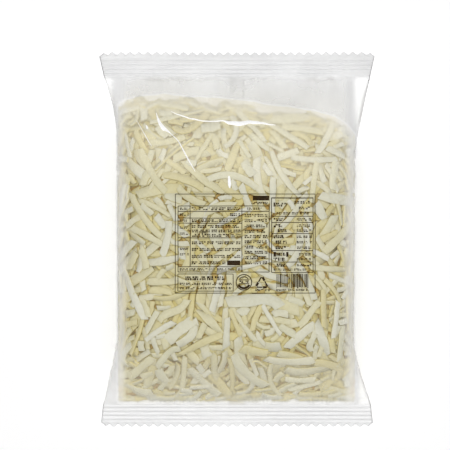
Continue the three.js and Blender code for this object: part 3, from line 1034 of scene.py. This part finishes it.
# Small print, in pixels or as shares of the height of its letters
WORD_LENGTHS, WORD_GAPS = (4, 11), (0.9, 1.8)
DASH_LENGTHS, DASH_GAPS, DASH_HEIGHTS = (0.7, 2.3), (0.3, 0.75), (0.45, 0.75)
DASHES_KEPT = 0.90
ROW_OFFSETS = (-0.28, 0.28)
SHORTEST_WORD, SHORTEST_DASH = 1.0, 0.4
RING_POINTS = 40


class Marks:
    """Flat pieces that lie on the upper film, given in the photograph's pixels."""

    def __init__(self):
        self.points = []
        self.quads = []
        self.count = 0

    def lay(self, px, py, lift=PRINT_LIFT):
        """Points over the film, so far above it, from where they are in the photograph."""
        x, y = from_px(px, py)
        u = skin.u_of_x(x, y)
        place, normal = skin.at(u, y), skin.out(u, y)
        place[..., 0], place[..., 1] = x, y
        relief = film_relief(x, y, np.full(np.shape(x), True))
        return place + normal * (relief + lift)[..., None]

    def add_grid(self, px, py, lift=PRINT_LIFT):
        rows, columns = px.shape
        self.points.append(self.lay(px, py, lift).reshape(-1, 3))
        self.quads.append(grid_quads(rows, columns, False) + self.count)
        self.count += rows * columns

    def bar(self, x0, y0, x1, y1):
        """A filled rectangle."""
        columns = max(2, int(abs(x1 - x0) * PIXEL / INK_STEP) + 2)
        rows = max(2, int(abs(y1 - y0) * PIXEL / INK_STEP) + 2)
        px, py = np.meshgrid(np.linspace(x0, x1, columns), np.linspace(y1, y0, rows))
        self.add_grid(px, py)

    def across(self, x0, x1, y, width=LINE):
        self.bar(x0, y - width / 2, x1, y + width / 2)

    def down(self, x, y0, y1, width=LINE):
        self.bar(x - width / 2, y0, x + width / 2, y1)

    def box(self, x0, y0, x1, y1, width=LINE):
        for y in (y0, y1):
            self.across(x0, x1, y, width)
        for x in (x0, x1):
            self.down(x, y0, y1, width)

    def ring(self, cx, cy, radius, width, start=0.0, turn=2 * math.pi):
        angle = np.linspace(start, start + turn, RING_POINTS)
        r = np.array([radius - width / 2, radius + width / 2])[:, None]
        self.add_grid(cx + r * np.cos(angle), cy + r * np.sin(angle))

    def stroke(self, x0, y0, x1, y1, width):
        """A straight line at any slant."""
        length = math.hypot(x1 - x0, y1 - y0)
        along = np.linspace(0, 1, max(2, int(length * PIXEL / INK_STEP) + 2))
        side = np.array([-width / 2, width / 2])[:, None]
        across_x, across_y = (y1 - y0) / length, -(x1 - x0) / length
        self.add_grid(mix(x0, x1, along) + side * across_x, mix(y0, y1, along) + side * across_y)

    def mesh(self, name):
        return make_mesh(name, np.concatenate(self.points), np.concatenate(self.quads))

    def words(self, rng, x0, x1, y, height=2.9, ink=0.66):
        """A line of small print, as two broken rows of short dashes."""
        x = x0
        while x < x1 - SHORTEST_WORD:
            word = min(x1, x + rng.uniform(*WORD_LENGTHS))
            for offset in ROW_OFFSETS:
                at = x
                while at < word - SHORTEST_DASH:
                    dash = min(word, at + rng.uniform(*DASH_LENGTHS)) - at
                    if rng.random() < DASHES_KEPT:
                        tall = height * ink * rng.uniform(*DASH_HEIGHTS)
                        middle = y + height * offset
                        self.bar(at, middle - tall / 2, at + dash, middle + tall / 2)
                    at += dash + rng.uniform(*DASH_GAPS)
            x = word + rng.uniform(*WORD_GAPS)


# The print, in the photograph's pixels: boxes and filled bars as (x0, y0, x1, y1), lines across as
# (x0, x1, ys, width), lines down as (x, y0, y1) and rows of small print as (x0, x1, ys, height, ink)
PRINT_BOXES = ((175.9, 194.4, 314.0, 292.3, 0.7), (178.6, 206.2, 241.7, 266.3), (178.6, 273.4, 233.0, 290.3))
PRINT_ACROSS = (
    (178.6, 241.7, (211.5, 218.2, 223.3, 237.7, 271.4)),
    (241.7, 268.6, (206.2, 211.5, 271.5)),
    (270.6, 312.4, (198.3,), 1.0),
    (271.0, 312.0, (216.4, 222.5, 233.5, 250.3, 261.6, 271.8)),
    (238.6, 248.8, (279.2, 283.0), 0.8),
)
PRINT_DOWN = (
    (190.6, 206.2, 266.3), (178.6, 266.3, 271.4), (241.7, 266.3, 271.4), (268.6, 206.2, 271.5),
    (271.0, 198.3, 271.8), (312.0, 198.3, 271.8),
)
PRINT_BARS = (
    (227.2, 260.1, 240.0, 264.8), (252.4, 196.0, 268.6, 200.8), (273.0, 251.7, 275.4, 256.4),
    (285.4, 251.7, 287.6, 256.4),
)
TABLE_ROWS = (
    (219.6, 273), (225.6, 273), (230.6, 277), (236.6, 273),
    (242.0, 275), (247.4, 275), (258.8, 273), (264.6, 276),
)
SMALL_PRINT = (
    (192.2, 240.4, (208.9, 220.8, 226.4, 230.9, 235.2, 242.6, 249.2, 256.0)),
    (230.0, 240.4, (214.8,)),
    (192.2, 225.4, (262.4,)),
    (180.4, 189.2, (208.9, 214.8, 220.8, 227.6, 233.6, 248.6, 254.0), 2.2),
    (180.2, 240.4, (268.9,), 2.2),
    (247.0, 263.0, (208.9,), 2.2),
    (244.4, 266.8, [215.6 + 5.2 * n for n in range(10)]),
    (251.0, 268.6, (203.4,), 2.4),
    (273.0, 285.6, (204.8,), 3.6, 0.8),
    (293.5, 310.6, (202.6,), 2.6),
    (298.0, 310.6, (208.2,), 2.6),
    (276.0, 308.0, (213.4,), 2.4),
    *[row for y, x in TABLE_ROWS for row in ((x, x + 11, (y,), 2.9, 0.85), (296.0, 310.6, (y,), 2.4))],
    (276.0, 285.0, (254.0,), 2.8, 0.9),
    (298.0, 310.6, (254.0,), 2.4),
    (273.0, 308.0, (269.0,), 2.0),
    (186.0, 224.6, (277.6,), 3.6, 0.85),
    (180.4, 231.6, (283.2, 287.4), 2.2),
    (239.4, 248.2, (281.1,), 2.0, 0.9),
    (255.0, 269.0, (289.2,), 2.0),
)
ROUND_MARK = (243.7, 281.6)
ROUND_MARK_RINGS = (
    (7.7, 0.95), (5.8, 2.2, 0.14 * math.pi, 0.72 * math.pi), (5.4, 0.9, 1.2 * math.pi, 0.6 * math.pi),
)
TIPS = ((261.5, 275.4), (267.6, 286.4), (255.4, 286.4))  # of the three-sided mark
TIP_STROKES = ((0.10, 0.42, 2.3), (0.46, 0.92, 1.2))  # along each of its sides: start, end and width
# A plain pattern of bars, some of them longer, with small print under it
PATTERN_LEFT, PATTERN_RIGHT, PATTERN_TOP, PATTERN_BOTTOM, PATTERN_LONGER = 275.6, 307.4, 273.2, 286.4, 287.6
PATTERN_WIDTHS, PATTERN_GAPS = (0.4, 0.4, 0.8, 1.2), (0.4, 0.6, 0.9)
PATTERN_PRINT = (289.2, 1.7)


def make_print():
    """The printed panel."""
    rng = np.random.default_rng(SEED + 30)
    ink = Marks()
    for box in PRINT_BOXES:
        ink.box(*box)
    for x0, x1, ys, *width in PRINT_ACROSS:
        for y in ys:
            ink.across(x0, x1, y, *width)
    for line in PRINT_DOWN:
        ink.down(*line)
    for bar in PRINT_BARS:
        ink.bar(*bar)
    for x0, x1, ys, *size in SMALL_PRINT:
        for y in ys:
            ink.words(rng, x0, x1, y, *size)
    for size in ROUND_MARK_RINGS:
        ink.ring(*ROUND_MARK, *size)
    for tip, other in zip(TIPS, TIPS[1:] + TIPS[:1]):
        tip, other = np.array(tip), np.array(other)
        for start, end, width in TIP_STROKES:
            ink.stroke(*mix(tip, other, start), *mix(tip, other, end), width)
    x = PATTERN_LEFT
    while x < PATTERN_RIGHT:
        width = rng.choice(PATTERN_WIDTHS)
        bottom = PATTERN_BOTTOM if rng.random() < 0.9 else PATTERN_LONGER
        ink.bar(x, PATTERN_TOP, min(PATTERN_RIGHT + 0.5, x + width), bottom)
        x += width + rng.choice(PATTERN_GAPS)
    ink.words(rng, PATTERN_LEFT, PATTERN_RIGHT, *PATTERN_PRINT)
    return ink.mesh("label_print")


# Bright creases in the photograph: (x, y, width) along each
CREASES = (
    ((171.5, 112.6, 0.3), (177, 115.0, 0.8), (184.4, 117.6, 1.3), (191.3, 119.6, 1.5), (201.7, 121.6, 1.2),
     (210.3, 122.6, 1.0), (222.9, 121.6, 1.3), (229.2, 123.8, 3.4), (239.6, 124.9, 4.6), (250, 123.0, 3.8),
     (262.6, 123.9, 2.4), (270, 125.6, 1.4), (275.0, 126.3, 0.4)),
    ((156.9, 114.0, 0.6), (158.0, 118.5, 1.7), (160.5, 124.5, 3.2), (164.0, 129.4, 4.2), (167.6, 131.6, 2.4),
     (172.0, 135.0, 0.7), (178.7, 141.7, 1.0), (183.0, 149.5, 1.3), (187.3, 157.7, 1.5), (191.5, 165, 1.3),
     (195.6, 172.2, 0.5)),
    ((137.6, 121.8, 0.4), (143, 131, 0.8), (148, 140, 0.8), (152.4, 147.2, 0.4)),
    ((147.0, 126.6, 1.4), (147.6, 128.2, 2.2), (148.2, 130.0, 1.0)),
    ((228.8, 176.6, 1.6), (229.2, 180.5, 3.2), (229.5, 185.5, 3.0), (229.8, 188.6, 1.2)),
)
# Across each: share of its width and height over the film
CREASE_SECTION = ((-0.5, -0.1), (-0.3, 0.25), (0, 0.42), (0.3, 0.25), (0.5, -0.1))
CREASE_STEPS = 14  # from knot to knot
SMOOTHINGS = 3


def make_creases():
    """Sharp folds pushed up in the film, each a low ridge along its line."""
    marks = Marks()
    for crease in CREASES:
        knots = np.array(crease)
        fine = np.linspace(0, len(knots) - 1, CREASE_STEPS * len(knots))
        line = np.stack([np.interp(fine, np.arange(len(knots)), column) for column in knots.T], 1)
        for _ in range(SMOOTHINGS):
            line[1:-1] = (line[:-2] + 2 * line[1:-1] + line[2:]) / 4
        direction = unit(np.gradient(line[:, :2], axis=0))
        across = np.stack([direction[:, 1], -direction[:, 0]], 1)
        shares, lifts = np.transpose(CREASE_SECTION)
        spots = line[:, :2] + across * (line[:, 2:] * shares[:, None, None])
        marks.add_grid(spots[..., 0], spots[..., 1], np.repeat(lifts[:, None], len(line), 1))
    return marks.mesh("film_creases")


label = make_print()
creases = make_creases()
label.visible_shadow = creases.visible_shadow = False


# ---- materials


def srgb(*values):
    """A linear colour from the 0 to 255 values that it has on a screen."""
    shares = [value / 255 for value in values]
    return (*[s / 12.92 if s <= 0.04045 else ((s + 0.055) / 1.055) ** 2.4 for s in shares], 1.0)


def grey(value):
    return (value, value, value, 1)


BLACK, WHITE = grey(0), grey(1)


class Nodes:
    """A material and short ways to add its nodes."""

    def __init__(self, name):
        self.material = bpy.data.materials.new(name)
        self.material.use_nodes = True
        self.tree = self.material.node_tree
        self.shader = self.tree.nodes["Principled BSDF"]
        self.output = self.tree.nodes["Material Output"]

    def add(self, kind, **settings):
        node = self.tree.nodes.new(kind)
        for key, value in settings.items():
            setattr(node, key, value)
        return node

    def link(self, a, b):
        self.tree.links.new(a, b)

    def set(self, values):
        """Sets the shader's own sockets."""
        for key, value in values.items():
            self.shader.inputs[key].default_value = value

    def noise(self, scale, detail):
        coordinates = self.add("ShaderNodeTexCoord")
        node = self.add("ShaderNodeTexNoise")
        node.inputs["Scale"].default_value = scale
        node.inputs["Detail"].default_value = detail
        self.link(coordinates.outputs["Object"], node.inputs["Vector"])
        return node.outputs["Fac"]

    def attribute(self, name):
        return self.add("ShaderNodeAttribute", attribute_name=name).outputs["Fac"]

    def ramp(self, value, stops):
        node = self.add("ShaderNodeValToRGB")
        elements = node.color_ramp.elements
        while len(elements) < len(stops):
            elements.new(0.5)
        for element, (position, colour) in zip(elements, stops):
            element.position = position
            element.color = colour
        self.link(value, node.inputs["Fac"])
        return node.outputs["Color"]

    def feed(self, slots, values):
        """Gives each slot its value, which is a number, a colour or what another node puts out."""
        for slot, value in zip(slots, values):
            if isinstance(value, (int, float, tuple)):
                slot.default_value = value
            else:
                self.link(value, slot)

    def math(self, operation, *values):
        node = self.add("ShaderNodeMath", operation=operation)
        self.feed(node.inputs, values)
        return node.outputs[0]

    def mix_colour(self, factor, a, b, blend="MIX"):
        node = self.add("ShaderNodeMix", data_type="RGBA", blend_type=blend)
        self.feed((node.inputs[0], node.inputs[6], node.inputs[7]), (factor, a, b))
        return node.outputs[2]

    def bump(self, size, distance, strength):
        node = self.add("ShaderNodeBump")
        node.inputs["Distance"].default_value = distance
        node.inputs["Strength"].default_value = strength
        self.link(self.noise(*size), node.inputs["Height"])
        self.link(node.outputs["Normal"], self.shader.inputs["Normal"])


# Painted shade: what light takes on after passing through other shreds, and how much of it at which depths
PAINTED_DEPTH_SHADES = (
    (srgb(208, 192, 104), (0.05, BLACK), (0.50, grey(0.70))),
    (srgb(178, 130, 50), (0.50, BLACK), (0.95, grey(0.80))),
)
SHRED_COLOURS = (
    (srgb(206, 205, 186), srgb(213, 212, 197)),
    (srgb(205, 203, 178), srgb(210, 208, 188)),
    (srgb(205, 200, 166), srgb(209, 205, 175)),
    (srgb(204, 195, 150), srgb(208, 201, 160)),
)


def cheese_material(name, dark, light):
    """Pale cheese: each shred has its own tint between two colours, with faint mottling and a cut grain."""
    m = Nodes(name)
    tint = m.ramp(m.attribute("tint"), ((0.0, dark), (1.0, light)))
    # Painted shade: corners deeper in the heap take on darker, warmer colours
    for colour, *stops in PAINTED_DEPTH_SHADES:
        tint = m.mix_colour(m.ramp(m.attribute("deep"), stops), tint, colour)
    mottle = m.ramp(m.noise(420, 4), ((0.30, (0.90, 0.88, 0.82, 1)), (0.62, WHITE)))
    m.link(m.mix_colour(0.6, tint, mottle, "MULTIPLY"), m.shader.inputs["Base Color"])
    m.set({"Roughness": 0.48, "Specular IOR Level": 0.35, "Subsurface Weight": 0.15})
    m.set({"Subsurface Radius": (1.0, 0.97, 0.88), "Subsurface Scale": 0.0025})
    m.bump((900, 3), 0.0003, 0.5)
    return m.material


# Painted light and shade of the milky film, by shade: grey below 0.9, a white highlight at 0.9, warm light
# from the cheese at 1
MILKY_COLOURS = ((0, BLACK), (0.9, (0.95, 0.95, 0.955, 1)), (1, (0.90, 0.855, 0.715, 1)))  # by shade


def film_material():
    """Clear film, milky as the mesh's haze says, mottled a little."""
    m = Nodes("clear_film")
    haze = m.math("MULTIPLY", m.attribute("haze"), m.math("MULTIPLY_ADD", m.noise(38, 3), 0.5, 0.75))
    # The film's colour is painted light and shade, from the mesh's shade attribute
    m.link(m.ramp(m.attribute("shade"), MILKY_COLOURS), m.shader.inputs["Base Color"])
    m.set({"Roughness": 0.24, "Specular IOR Level": 0.5})
    m.bump((70, 3), 0.0012, 0.35)
    clear = m.add("ShaderNodeBsdfTransparent")
    clear.inputs["Color"].default_value = (0.985, 0.985, 0.98, 1)
    blend = m.add("ShaderNodeMixShader")
    m.feed(blend.inputs, (haze, clear.outputs[0], m.shader.outputs[0]))
    m.link(blend.outputs[0], m.output.inputs["Surface"])
    return m.material


def noisy_material(name, settings, varied, bump=None):
    """A material with shader settings, sockets that vary between two colours over a noise, and a relief."""
    m = Nodes(name)
    m.set(settings)
    for socket, size, *stops in varied:
        m.link(m.ramp(m.noise(*size), stops), m.shader.inputs[socket])
    if bump:
        m.bump(*bump)
    return m.material


for thing, name, (dark, light) in zip(shreds, SHRED_KINDS, SHRED_COLOURS):
    thing.data.materials.append(cheese_material(name, dark, light))
clear_film = film_material()
film.data.materials.append(clear_film)
seam.data.materials.append(clear_film)
# The core's darker tan is painted shade, for the deepest gaps where it shows
core.data.materials.append(noisy_material(
    "cheese_core", {"Roughness": 0.6},
    [("Base Color", (160, 4), (0.35, srgb(176, 142, 70)), (0.65, srgb(198, 166, 92)))],
    bump=((260, 3), 0.001, 0.8),
))
label.data.materials.append(noisy_material(
    "label_ink", {"Roughness": 0.6, "Specular IOR Level": 0.08},
    [("Base Color", (500, 3), (0.3, srgb(34, 22, 10)), (0.7, srgb(52, 36, 16))),
     ("Alpha", (700, 3), (0.2, grey(0.95)), (0.7, WHITE))],
))
# The creases' white is partly whitened, stretched film and partly a painted highlight of the light the folds
# reflect
creases.data.materials.append(noisy_material(
    "film_crease_highlight", {"Base Color": WHITE, "Roughness": 0.2},
    [("Alpha", (240, 2), (0.25, grey(0.86)), (0.6, WHITE))],
))

# ---- what rides on what

for piece in (*shreds, core, film, seam, label, creases):
    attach(piece, "root")
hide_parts("bag")

# ---- floor, light and camera

FLOOR_HALF = 3000
FLOOR_HEIGHT = -0.2
corners = [(x * FLOOR_HALF, y * FLOOR_HALF, FLOOR_HEIGHT) for x, y in ((-1, -1), (1, -1), (1, 1), (-1, 1))]
floor = make_mesh("floor", corners, [(0, 1, 2, 3)])
floor.data.materials.append(noisy_material(
    "floor_white", {"Roughness": 0.9, "Specular IOR Level": 0.1},
    [("Base Color", (3, 2), (0.3, grey(0.97)), (0.7, grey(0.985)))],
))

scene = bpy.context.scene
world = bpy.data.worlds.new("studio")
scene.world = world
world.use_nodes = True
background = world.node_tree.nodes["Background"]
background.inputs["Color"].default_value = WHITE
background.inputs["Strength"].default_value = 0.20

AIM = (0, 0, 0.03)  # in metres, as the lights and the camera are placed


def area_light(name, place, size, power):
    data = bpy.data.lights.new(name, "AREA")
    data.shape = "RECTANGLE"
    data.size, data.size_y = size
    data.energy = power
    light = bpy.data.objects.new(name, data)
    light.location = place
    light.rotation_euler = Vector(np.array(AIM) - np.array(place)).to_track_quat("-Z", "Y").to_euler()
    scene.collection.objects.link(light)
    return light


area_light("key", (-0.5, 0.75, 1.9), (0.9, 0.7), 6)
area_light("fill", (0.75, -0.55, 2.0), (1.0, 1.0), 4)
overhead = area_light("overhead", (0, 0.12, 3.2), (0.6, 0.6), 66.5)
overhead.visible_glossy = False  # the film doesn't throw it straight back at the camera

CAMERA_DISTANCE = 2.6
SENSOR_WIDTH = 36
SIDE_EDGE_HEIGHT = 0.024
camera_data = bpy.data.cameras.new("camera")
camera_data.sensor_width = SENSOR_WIDTH
camera_data.sensor_fit = "HORIZONTAL"
camera_data.lens = SENSOR_WIDTH * CAMERA_DISTANCE / (FRAME_PX * PIXEL * MM)
camera_data.clip_end = 20
camera = bpy.data.objects.new("camera", camera_data)
middle_x, middle_y = from_px(FRAME_PX / 2, FRAME_PX / 2)
camera.location = (middle_x * MM, middle_y * MM, SIDE_EDGE_HEIGHT + CAMERA_DISTANCE)
scene.collection.objects.link(camera)
bpy.context.scene.camera = camera

scene.view_settings.view_transform = "Standard"
scene.view_settings.look = "None"
scene.view_settings.exposure = 0
scene.view_settings.gamma = 1
